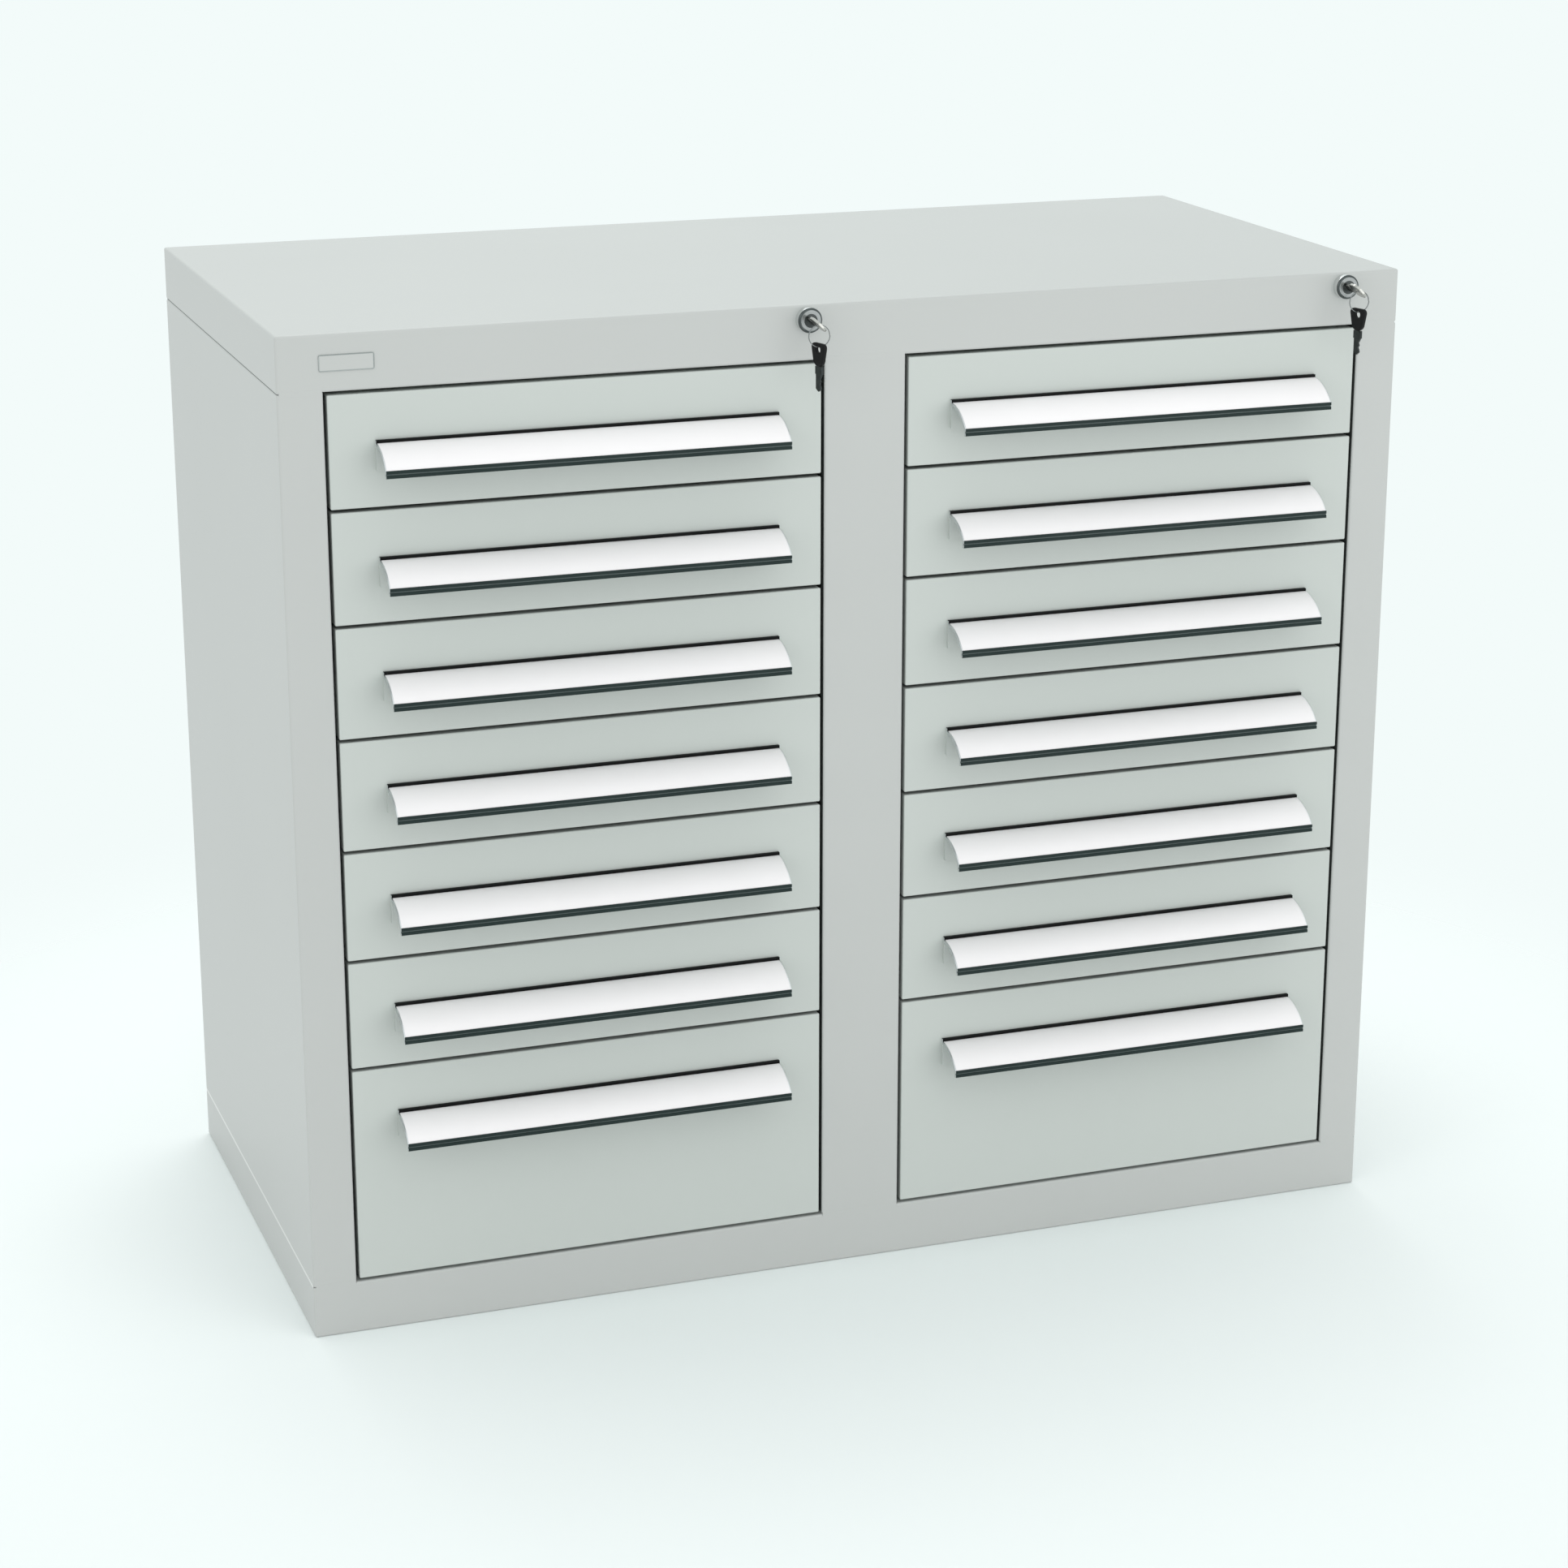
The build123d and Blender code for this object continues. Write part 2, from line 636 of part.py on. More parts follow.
def make_cam(lock_x):
    pin_x = lock_x + pin_side
    pin_z = lock_z + pin_rise
    with BuildPart() as cam:
        with BuildSketch(Plane.XZ.offset(-cam_y[1])):
            with Locations((lock_x, lock_z), (pin_x, pin_z)):
                Circle(CAM_RADIUS)
            make_hull()
        extrude(amount=CAM_THICK)
        rod_along_y(PIN_RADIUS, pin_x, (cam_y[1], bar_y[1] + PIN_PROUD), pin_z)
    return cam.part


def make_key(plane, bow_width, bow_length, bow_thick, bow_corner):
    # Bow above the plane's origin along its Y axis, neck and blade below it
    with BuildPart() as bow:
        with BuildSketch(plane):
            with Locations((0, bow_length / 2)):
                RectangleRounded(bow_width, bow_length, bow_corner)
            with Locations((0, bow_length - BOW_HOLE_EDGE)):
                Circle(BOW_HOLE_RADIUS, mode=Mode.SUBTRACT)
        extrude(amount=bow_thick / 2, both=True)
    with BuildPart() as blade:
        with BuildSketch(plane) as blade_outline:
            Rectangle(NECK_WIDTH, NECK_LENGTH, align=(Align.CENTER, Align.MAX))
            with Locations((0, -NECK_LENGTH)):
                Rectangle(BLADE_WIDTH, BLADE_LENGTH, align=(Align.CENTER, Align.MAX))
            tip_corners = blade_outline.vertices().group_by(Axis((0, 0, 0), (0, 1, 0)))[0]
            chamfer(tip_corners, BLADE_TIP)
        extrude(amount=BLADE_THICK / 2, both=True)
    return group(bow.part, blade.part)


def make_lock_key(lock_x):
    plane = Plane(
        (lock_x, shoulder_y, lock_z), x_dir=key_side, z_dir=(cos(cam_half_turn), 0, sin(cam_half_turn))
    )
    return make_key(plane, BOW_WIDTH, BOW_LENGTH, BLADE_THICK, BOW_CORNER)


def make_spare(lock_x):
    # Ring whose wire crosses the lock's axis in the bow of the key there, with the spare key on it
    ring_y = front_y - ring_reach
    ring_z = lock_z - RING_RADIUS
    hole_z = ring_z - RING_RADIUS + RING_WIRE + RING_CLEARANCE - BOW_HOLE_RADIUS
    plane = Plane(
        (lock_x, ring_y, hole_z + BOW_HOLE_EDGE - SPARE_BOW_LENGTH),
        x_dir=(cos(spare_twist), -sin(spare_twist), 0),
        z_dir=(-sin(spare_twist), -cos(spare_twist), 0),
    )
    spare = make_key(plane, SPARE_BOW_WIDTH, SPARE_BOW_LENGTH, SPARE_BOW_THICK, SPARE_BOW_CORNER)
    with BuildPart() as ring:
        with Locations((lock_x, ring_y, ring_z)):
            Torus(RING_RADIUS, RING_WIRE, rotation=(90, 0, 0))
    return group(ring.part, spare)


lock_shells = []
for column, column_x in columns.items():
    lock_x = column_x + opening_width / 2 - LOCK_INSET
    lock_shells += [make_lock_housing(lock_x), make_lock_nut(lock_x)]
    pieces[f"{column}_lock_plug"] = group(make_plug(lock_x), make_cam(lock_x))
    pieces[f"{column}_key"] = make_lock_key(lock_x)
    pieces[f"{column}_spare_key"] = make_spare(lock_x)
    pieces[f"{column}_lock_bar"] = make_lock_bar(column_x)
pieces["lock_housings"] = group(*lock_shells)

os.makedirs("parts", exist_ok=True)
for name, piece in pieces.items():
    piece.label = name
    export_step(piece, f"parts/{name}.step")
print(f"{len(pieces)} pieces, {WIDTH} wide, {DEPTH} deep, {height} high")
print(f"front plane y {front_y:.3f}, lock axis z {lock_z:.3f}, pin offset {pin_offset:.4f}")
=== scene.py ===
from math import atan2, cos, hypot, pi, radians, sin

import bmesh
import bpy
from mathutils import Matrix, Vector


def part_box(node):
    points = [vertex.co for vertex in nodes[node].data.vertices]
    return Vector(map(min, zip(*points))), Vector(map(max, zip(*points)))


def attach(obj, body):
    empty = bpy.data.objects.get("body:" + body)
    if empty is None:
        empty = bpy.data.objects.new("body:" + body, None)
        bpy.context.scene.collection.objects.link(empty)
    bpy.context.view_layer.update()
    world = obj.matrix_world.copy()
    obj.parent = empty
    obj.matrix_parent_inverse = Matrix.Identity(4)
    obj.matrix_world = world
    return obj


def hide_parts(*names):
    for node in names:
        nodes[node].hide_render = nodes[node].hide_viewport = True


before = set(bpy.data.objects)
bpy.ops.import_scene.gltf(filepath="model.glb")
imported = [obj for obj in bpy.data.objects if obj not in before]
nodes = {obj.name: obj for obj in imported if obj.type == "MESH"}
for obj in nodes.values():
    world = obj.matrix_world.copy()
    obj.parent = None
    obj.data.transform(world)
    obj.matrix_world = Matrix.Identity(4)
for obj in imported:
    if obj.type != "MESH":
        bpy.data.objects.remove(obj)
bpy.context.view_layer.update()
mm = 0.001
columns = ("left", "right")
drawers = [name.removesuffix("_grip") for name in nodes if name.endswith("_grip")]
print("frame loaded:", len(nodes), "solid nodes,", len(drawers), "drawers")


class Flow:  # one shader socket, so that maths on it is written as plain sums
    def __init__(self, tree, socket=None):
        self.tree = tree
        self.socket = socket

    def node(self, kind, settings=None, inputs=None, output=0):
        made = self.tree.nodes.new(kind)
        for name, value in (settings or {}).items():
            setattr(made, name, value)
        for name, value in (inputs or {}).items():
            if isinstance(value, Flow):
                self.tree.links.new(value.socket, made.inputs[name])
            else:
                made.inputs[name].default_value = value
        return Flow(self.tree, made.outputs[output] if made.outputs else None)

    def sum(self, operation, first, second):
        return self.node("ShaderNodeMath", {"operation": operation}, {0: first, 1: second})

    def __add__(self, other):
        return self.sum("ADD", self, other)

    def __radd__(self, other):
        return self.sum("ADD", other, self)

    def __sub__(self, other):
        return self.sum("SUBTRACT", self, other)

    def __rsub__(self, other):
        return self.sum("SUBTRACT", other, self)

    def __mul__(self, other):
        return self.sum("MULTIPLY", self, other)

    def __rmul__(self, other):
        return self.sum("MULTIPLY", other, self)


def startFinish(name):
    material = bpy.data.materials.new(name)
    material.use_nodes = True
    material.node_tree.nodes.clear()
    return material, Flow(material.node_tree)


def closeFinish(flow, surface):
    flow.node("ShaderNodeOutputMaterial", None, {"Surface": surface})


def mixColours(flow, factor, first, second):  # a Mix node takes colours at 6 and 7, and gives one at 2
    settings = {"data_type": "RGBA"}
    return flow.node("ShaderNodeMix", settings, {0: factor, 6: (*first, 1), 7: (*second, 1)}, 2)


def objectPlace(flow):
    return flow.node("ShaderNodeTexCoord", output="Object")


def noise(flow, place, size, detail=2.0):
    return flow.node("ShaderNodeTexNoise", None, {"Vector": place, "Scale": 1 / size, "Detail": detail})


def raised(flow, height, depth):
    return flow.node("ShaderNodeBump", None, {"Height": height, "Distance": depth})


def wander(middle, spread, pattern):  # strays around its middle with a pattern from 0 to 1
    return middle + spread * (pattern - 0.5)


powderCoat = {
    "housing": (0.482, 0.510, 0.496),
    "drawer": (0.506, 0.554, 0.528),
    # painted highlight: lighter than the housing, for the line along the foot of each side
    "footHighlight": (0.680, 0.706, 0.689),
    # painted shade: near-black for the faces inside the gaps beside and under the drawers, and for the
    # fold under the top cover
    "gapShade": (0.050, 0.058, 0.055),
    "shade": 0.965,  # darkest cloud, as a share of the colour
    "cloudSize": 240 * mm,
    "cloudDetail": 3.0,
    "peelSize": 1.5 * mm,  # orange peel
    "peelDepth": 0.010 * mm,
    "grainSize": 0.28 * mm,
    "grainShare": 0.35,  # of the peel's depth
    "fineDetail": 1.0,
    "roughness": 0.40,
    "roughSpread": 0.16,
    "ior": 1.5,
}


def makePaint(kind):
    look, colour = powderCoat, powderCoat[kind]
    material, flow = startFinish(kind + " paint")
    place = objectPlace(flow)
    clouds = noise(flow, place, look["cloudSize"], look["cloudDetail"])
    peel = noise(flow, place, look["peelSize"], look["fineDetail"])
    grain = noise(flow, place, look["grainSize"], look["fineDetail"])
    dark = tuple(look["shade"] * channel for channel in colour)
    surface = flow.node("ShaderNodeBsdfPrincipled", None, {
        "Base Color": mixColours(flow, clouds, dark, colour),
        "Roughness": wander(look["roughness"], look["roughSpread"], grain),
        "IOR": look["ior"],
        "Normal": raised(flow, peel + look["grainShare"] * grain, look["peelDepth"]),
    })
    closeFinish(flow, surface)
    return material


bareMetal = {
    "zinc": {"light": (0.66, 0.67, 0.67), "dark": (0.50, 0.52, 0.53), "rough": 0.34, "size": 9 * mm},
    "chrome": {"light": (0.80, 0.81, 0.81), "dark": (0.74, 0.75, 0.75), "rough": 0.08, "size": 6 * mm},
    # painted dark reflection on the lock rosette's rounded rim
    "darkReflection": {"light": (0.11, 0.12, 0.12), "dark": (0.07, 0.08, 0.08), "rough": 0.16, "size": 6 * mm},
    "satin": {"light": (0.27, 0.28, 0.28), "dark": (0.19, 0.20, 0.20), "rough": 0.24, "size": 6 * mm},
    "nickel": {"light": (0.58, 0.57, 0.54), "dark": (0.43, 0.42, 0.40), "rough": 0.24, "size": 3 * mm},
    "dark steel": {
        "light": (0.07, 0.075, 0.075), "dark": (0.035, 0.04, 0.04), "rough": 0.30, "size": 3 * mm,
    },
    "smudge": 0.10,  # how far the roughness wanders, as a share of it
    "smudgeDetail": 4.0,
    "scratchSize": 0.25 * mm,
    "scratchDepth": 0.002 * mm,
}


def makeMetal(kind):
    look = bareMetal[kind]
    material, flow = startFinish(kind)
    place = objectPlace(flow)
    tone = noise(flow, place, look["size"], bareMetal["smudgeDetail"])
    scratches = noise(flow, place, bareMetal["scratchSize"])
    surface = flow.node("ShaderNodeBsdfPrincipled", None, {
        "Base Color": mixColours(flow, tone, look["dark"], look["light"]),
        "Metallic": 1.0,
        "Roughness": wander(look["rough"], bareMetal["smudge"] * look["rough"], tone),
        "Normal": raised(flow, scratches, bareMetal["scratchDepth"]),
    })
    closeFinish(flow, surface)
    return material


drawnMetal = {
    "grip": {"light": (0.74, 0.76, 0.77), "dark": (0.62, 0.64, 0.65), "rough": 0.36},
    "plate": {"light": (0.36, 0.38, 0.375), "dark": (0.27, 0.29, 0.285), "rough": 0.34},
    "along": 60 * mm,  # length of a drawing line
    "across": 0.3 * mm,
    "depth": 0.004 * mm,
    "detail": 3.0,
    "spread": 0.14,
}


def makeDrawnMetal(kind):
    look = drawnMetal[kind]
    material, flow = startFinish(kind + " metal")
    drawn = (drawnMetal["across"] / drawnMetal["along"], 1, 1)
    place = flow.node("ShaderNodeMapping", None, {"Vector": objectPlace(flow), "Scale": drawn})
    lines = noise(flow, place, drawnMetal["across"], drawnMetal["detail"])
    surface = flow.node("ShaderNodeBsdfPrincipled", None, {
        "Base Color": mixColours(flow, lines, look["dark"], look["light"]),
        "Metallic": 1.0,
        "Roughness": wander(look["rough"], drawnMetal["spread"], lines),
        "Normal": raised(flow, lines, drawnMetal["depth"]),
    })
    closeFinish(flow, surface)
    return material


plastic = {
    "label": {"light": (0.86, 0.86, 0.865), "dark": (0.835, 0.835, 0.84), "rough": 0.45, "gloss": 0.3},
    "lip": {"light": (0.017, 0.031, 0.029), "dark": (0.012, 0.023, 0.022), "rough": 0.42, "gloss": 0.15},
    "groove": {"light": (0.110, 0.150, 0.145), "dark": (0.085, 0.118, 0.115), "rough": 0.36, "gloss": 0.3},
    "bead": {"light": (0.005, 0.006, 0.006), "dark": (0.003, 0.003, 0.003), "rough": 0.50, "gloss": 0.10},
    "bow": {"light": (0.007, 0.007, 0.008), "dark": (0.004, 0.004, 0.004), "rough": 0.44, "gloss": 0.18},
    "cloudSize": 22 * mm,
    "cloudDetail": 3.0,
    "grainSize": 0.45 * mm,
    "grainDepth": 0.006 * mm,
    "spread": 0.12,
}


def makePlastic(kind):
    look = plastic[kind]
    material, flow = startFinish(kind + " plastic")
    place = objectPlace(flow)
    clouds = noise(flow, place, plastic["cloudSize"], plastic["cloudDetail"])
    grain = noise(flow, place, plastic["grainSize"])
    surface = flow.node("ShaderNodeBsdfPrincipled", None, {
        "Base Color": mixColours(flow, clouds, look["dark"], look["light"]),
        "Roughness": wander(look["rough"], plastic["spread"], grain),
        "Specular IOR Level": look["gloss"],
        "Normal": raised(flow, grain, plastic["grainDepth"]),
    })
    closeFinish(flow, surface)
    return material


housingPaint, drawerPaint, paintedFootHighlight, paintedGapShade = (
    makePaint(kind) for kind in ("housing", "drawer", "footHighlight", "gapShade")
)
zinc, chrome, darkReflection, satin, nickel, darkSteel = (
    makeMetal(kind) for kind in ("zinc", "chrome", "darkReflection", "satin", "nickel", "dark steel")
)
gripMetal, plateMetal = (makeDrawnMetal(kind) for kind in ("grip", "plate"))
labelCard, lipTrim, grooveTrim, beadTrim, bowPlastic = (
    makePlastic(kind) for kind in ("label", "lip", "groove", "bead", "bow")
)
print("finishes made:", len(bpy.data.materials))


faceTest = {
    "play": 0.05 * mm,  # slack at a plane
    "square": 0.9,  # how far a face has to look along an axis
}
trayWidth = 415 * mm  # over its walls, without the rails

gripShape = {  # the grip's section, as its solid has it
    "beadDepth": 3 * mm,
    "beadRise": 2.5 * mm,
    "slope": radians(3),  # at the bead
    "lipHeight": 6 * mm,
    "lipProud": 1 * mm,
    "grooveWidth": 1.8 * mm,
    "wall": 2.5 * mm,
}

rosette = {
    "round": 2.5 * mm,  # depth of its rounded rim
    "side": 0.12,  # the painted dark reflection band starts and ends where a face looks forwards by these shares
    "face": 0.97,
}

gapShadeEnds = {  # faces that get painted shade, at these ends: axis, and 0 for its low end or 1 for its high end
    "left_side_panel": [(0, 1)],
    "centre_post": [(0, 0), (0, 1)],
    "right_side_panel": [(0, 0)],
    "front": [(2, 0)],
}
lowestRow = "_7"  # its fronts stand over the base pan, where the gap is lighter, so they get no painted shade


def paintNode(name, *materials):
    mesh = nodes[name].data
    mesh.materials.clear()
    for material in materials:
        mesh.materials.append(material)
    return mesh


def paintGapShade(name, paint, ends):  # painted shade: faces at these ends of a node look into the gaps and are painted dark
    mesh = paintNode(name, paint, paintedGapShade)
    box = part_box(name)
    for face in mesh.polygons:
        face.material_index = int(any(
            abs(face.center[axis] - box[end][axis]) < faceTest["play"]
            and abs(face.normal[axis]) > faceTest["square"]
            for axis, end in ends
        ))


def paintTray(name):  # the tray is painted, the rails on its sides are zinc
    mesh = paintNode(name, drawerPaint, zinc)
    low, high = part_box(name)
    middle = (low.x + high.x) / 2
    wall = trayWidth / 2 + faceTest["play"]
    for face in mesh.polygons:
        face.material_index = int(abs(face.center.x - middle) > wall)


def paintGrip(name):  # the flange behind the hood takes the drawer's paint
    mesh = paintNode(name, gripMetal, drawerPaint)
    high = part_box(name)[1]
    flange = high.y - gripShape["wall"] - faceTest["play"]
    under = high.z - gripShape["beadRise"] - gripShape["wall"]
    for face in mesh.polygons:
        face.material_index = int(face.center.y > flange and face.center.z < under)


def paintLocks():  # painted dark reflection: a dark band on the rounded rim between the rosette's bright side and its satin face
    mesh = paintNode("lock_housings", chrome, darkReflection, satin)
    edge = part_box("lock_housings")[0].y + rosette["round"]
    for face in mesh.polygons:
        if face.center.y < edge and -face.normal.y > rosette["side"]:
            face.material_index = 1 if -face.normal.y < rosette["face"] else 2


for name in ("top_cover", "base_pan", "back_panel"):
    paintNode(name, housingPaint)
for name in ("left_side_panel", "centre_post", "right_side_panel"):
    paintGapShade(name, housingPaint, gapShadeEnds[name])
for name in ("slide_uprights", "housing_rails", "slide_screws", "left_lock_bar", "right_lock_bar"):
    paintNode(name, zinc)
paintLocks()
for side in columns:
    paintNode(side + "_lock_plug", darkSteel)
for drawer in drawers:
    paintGapShade(drawer + "_front", drawerPaint, [] if drawer.endswith(lowestRow) else gapShadeEnds["front"])
    paintGrip(drawer + "_grip")
    paintTray(drawer + "_tray")
print("solid nodes finished")


sharpAngle = {"soften": radians(40), "shade": radians(50), "outline": radians(60)}


def newVerts(made):
    return [item for item in made["geom"] if isinstance(item, bmesh.types.BMVert)]


def makeChain(bm, points):
    verts = [bm.verts.new(point) for point in points]
    for pair in zip(verts, verts[1:]):
        bm.edges.new(pair)


def makeFlat(bm, corners):
    return bm.faces.new([bm.verts.new(corner) for corner in corners])


def roundCorners(bm, face, radius, segments):
    bmesh.ops.bevel(
        bm, geom=face.verts[:], offset=radius, affect="VERTICES", segments=segments, profile=0.5,
        material=-1,
    )


def softenEdges(bm, width, sharpest=sharpAngle["soften"], segments=2):
    edges = [edge for edge in bm.edges if edge.is_manifold and edge.calc_face_angle() > sharpest]
    bmesh.ops.bevel(
        bm, geom=edges, offset=width, affect="EDGES", segments=segments, profile=0.5, material=-1,
    )


def thicken(bm, thick, axis=1):
    made = bmesh.ops.extrude_face_region(bm, geom=bm.faces[:])
    bmesh.ops.translate(bm, verts=newVerts(made), vec=[thick * (axis == along) for along in range(3)])
    bmesh.ops.recalc_face_normals(bm, faces=bm.faces[:])


def placed(bm, matrix):
    bmesh.ops.transform(bm, matrix=matrix, verts=bm.verts[:])
    return bm


def addPiece(name, bm, materials, body, replaced=()):
    for face in bm.faces:
        face.smooth = True
    for edge in bm.edges:
        edge.smooth = edge.is_manifold and edge.calc_face_angle() < sharpAngle["shade"]
    mesh = bpy.data.meshes.new(name)
    bm.to_mesh(mesh)
    bm.free()
    for material in materials:
        mesh.materials.append(material)
    piece = bpy.data.objects.new(name, mesh)
    bpy.context.scene.collection.objects.link(piece)
    # flat faces stay flat beside their rounds
    even = piece.modifiers.new("even shading", "WEIGHTED_NORMAL")
    even.keep_sharp = True
    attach(piece, body)
    if replaced:
        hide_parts(*replaced)


labelStrip = {
    "thick": 0.4 * mm,
    "endGap": 0.9 * mm,
    "beadGap": 0.5 * mm,
    "lipGap": 0.1 * mm,
    "edge": 0.12 * mm,
    "steps": 24,
}
edgeStrip = {"thick": 0.3 * mm, "endGap": 0.15 * mm, "edge": 0.12 * mm}


def pullBand(bm, grip, strip):  # draws a section out along the grip and gives it its thickness
    low, high = grip
    made = bmesh.ops.extrude_edge_only(bm, edges=bm.edges[:])
    bmesh.ops.translate(bm, verts=newVerts(made), vec=(high.x - low.x - 2 * strip["endGap"], 0, 0))
    bmesh.ops.solidify(bm, geom=bm.faces[:], thickness=strip["thick"])


def makeLabelStrip(drawer):  # lies on the hood's arc
    low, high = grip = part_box(drawer + "_grip")
    shape, strip = gripShape, labelStrip
    slope = shape["slope"]
    x = low.x + strip["endGap"]
    beadY, hoodZ = high.y - shape["beadDepth"], high.z - shape["beadRise"]
    run = beadY - low.y - shape["lipProud"]
    fall = hoodZ - low.z - shape["lipHeight"]
    chord = atan2(fall, run)
    radius = hypot(run, fall) / (2 * sin(chord - slope))
    middle = Vector((x, beadY + radius * sin(slope), hoodZ - radius * cos(slope)))
    start = slope + strip["beadGap"] / radius
    end = 2 * chord - slope - strip["lipGap"] / radius
    bm = bmesh.new()
    first = bm.verts.new(middle + radius * Vector((0, -sin(start), cos(start))))
    bmesh.ops.spin(
        bm, geom=[first], cent=middle, axis=(1, 0, 0), angle=end - start, steps=strip["steps"],
        use_merge=False,
    )
    pullBand(bm, grip, strip)
    softenEdges(bm, strip["edge"])
    addPiece(drawer + "_label_strip", bm, [labelCard], drawer)


def makeBeadStrip(drawer):
    low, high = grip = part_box(drawer + "_grip")
    shape, strip = gripShape, edgeStrip
    x = low.x + strip["endGap"]
    beadY, hoodZ = high.y - shape["beadDepth"], high.z - shape["beadRise"]
    bm = bmesh.new()
    makeChain(bm, [(x, high.y - strip["endGap"], high.z), (x, beadY, high.z), (x, beadY, hoodZ)])
    pullBand(bm, grip, strip)
    softenEdges(bm, strip["edge"])
    addPiece(drawer + "_bead_strip", bm, [beadTrim], drawer)


def makeLipStrip(drawer):
    low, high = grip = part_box(drawer + "_grip")
    shape, strip = gripShape, edgeStrip
    x = low.x + strip["endGap"]
    lipTop = low.z + shape["lipHeight"]
    grooveLow = low.z + (shape["lipHeight"] - shape["grooveWidth"]) / 2
    grooveTop = grooveLow + shape["grooveWidth"]
    grooveY = low.y + shape["lipProud"]
    bm = bmesh.new()
    makeChain(bm, [
        (x, grooveY - labelStrip["thick"], lipTop),
        (x, low.y, lipTop),
        (x, low.y, grooveTop),
        (x, grooveY, grooveTop),
        (x, grooveY, grooveLow),
        (x, low.y, grooveLow),
        (x, low.y, low.z),
        (x, grooveY + shape["wall"], low.z),
    ])
    pullBand(bm, grip, strip)
    for face in bm.faces:  # the groove's floor is lighter
        inGroove = grooveLow < face.calc_center_median().z < grooveTop
        face.material_index = int(inGroove and abs(face.normal.y) > faceTest["square"])
    softenEdges(bm, strip["edge"])
    addPiece(drawer + "_lip_strip", bm, [lipTrim, grooveTrim], drawer)


for drawer in drawers:
    makeLabelStrip(drawer)
    makeBeadStrip(drawer)
    makeLipStrip(drawer)
print("grips dressed")


keyShape = {
    "flat": {  # bow of the key in the lock
        "length": 19 * mm,
        "top": 17 * mm,
        "foot": 15 * mm,
        "corner": 6.8 * mm,
        "thick": 2.2 * mm,
        "edge": 0.25 * mm,
    },
    "moulded": {  # bow of the spare key
        "length": 20 * mm,
        "top": 20 * mm,
        "foot": 11.5 * mm,
        "corner": 4.8 * mm,
        "thick": 3.6 * mm,
        "edge": 0.9 * mm,
    },
    "cornerSteps": 8,
    "bowEdgeSteps": 4,
    "holeRadius": 3 * mm,
    "holeDrop": 5.5 * mm,
    "holeSteps": 28,
    "neckLength": 7 * mm,
    "neckWidth": 9 * mm,
    "bladeLength": 15 * mm,
    "bladeWidth": 7 * mm,
    "bladeThick": 2.2 * mm,
    "bladeTip": 2.4 * mm,
    "cutShares": (0.10, 0.30, 0.16, 0.34, 0.20, 0.12),  # of the blade's width
    "edge": 0.18 * mm,
    "lean": radians(45),  # of the key in the lock, to one side
    "spareTwist": radians(72),  # of the spare key about its blade
}


def makeBow(kind):  # stands on the neck's end, its width along X
    bow = keyShape[kind]
    half, foot, length = bow["top"] / 2, bow["foot"] / 2, bow["length"]
    back = -bow["thick"] / 2
    bm = bmesh.new()
    face = makeFlat(bm, [(-foot, back, 0), (foot, back, 0), (half, back, length), (-half, back, length)])
    roundCorners(bm, face, bow["corner"], keyShape["cornerSteps"])
    bmesh.ops.delete(bm, geom=bm.faces[:], context="FACES_ONLY")
    hole = Matrix.Translation((0, back, length - keyShape["holeDrop"])) @ Matrix.Rotation(pi / 2, 4, "X")
    bmesh.ops.create_circle(
        bm, cap_ends=False, radius=keyShape["holeRadius"], segments=keyShape["holeSteps"], matrix=hole,
    )
    bmesh.ops.bridge_loops(bm, edges=bm.edges[:])
    thicken(bm, bow["thick"])
    softenEdges(bm, bow["edge"], sharpAngle["outline"], keyShape["bowEdgeSteps"])
    return bm


def makeBlade():  # neck and blade below the bow
    shape = keyShape
    half, neck, back = shape["bladeWidth"] / 2, shape["neckWidth"] / 2, -shape["bladeThick"] / 2
    top = -shape["neckLength"]
    tip = top - shape["bladeLength"]
    shoulder = tip + shape["bladeTip"]
    shares = shape["cutShares"]
    step = (shape["bladeLength"] - shape["bladeTip"]) / len(shares)
    corners = [(-neck, back, 0), (-neck, back, top), (-half, back, top)]
    corners += [(-half, back, shoulder), (0, back, tip)]
    for index, share in enumerate(reversed(shares)):
        corners.append((half - share * shape["bladeWidth"], back, shoulder + step * index))
    corners += [(half, back, top), (neck, back, top), (neck, back, 0)]
    bm = bmesh.new()
    makeFlat(bm, corners)
    thicken(bm, shape["bladeThick"])
    softenEdges(bm, shape["edge"], sharpAngle["outline"])
    return bm


ringShape = {
    "radius": 9.5 * mm,
    "wire": 0.33 * mm,
    "wireSides": 10,
    "pitch": 0.68 * mm,
    "turns": 2,
    "steps": 56,  # in a turn
}


def makeRing():  # split ring about the Y axis
    shape = ringShape
    turns, steps, pitch = shape["turns"], shape["steps"], shape["pitch"]
    bm = bmesh.new()
    section = Matrix.Translation((shape["radius"], -pitch * turns / 2, 0))
    bmesh.ops.create_circle(
        bm, cap_ends=False, radius=shape["wire"], segments=shape["wireSides"], matrix=section,
    )
    bmesh.ops.spin(
        bm, geom=bm.verts[:] + bm.edges[:], cent=(0, 0, 0), axis=(0, 1, 0), dvec=(0, pitch / steps, 0),
        angle=2 * pi * turns, steps=steps * turns, use_merge=False,
    )
    bmesh.ops.holes_fill(bm, edges=bm.edges[:], sides=0)
    bmesh.ops.recalc_face_normals(bm, faces=bm.faces[:])
    return bm


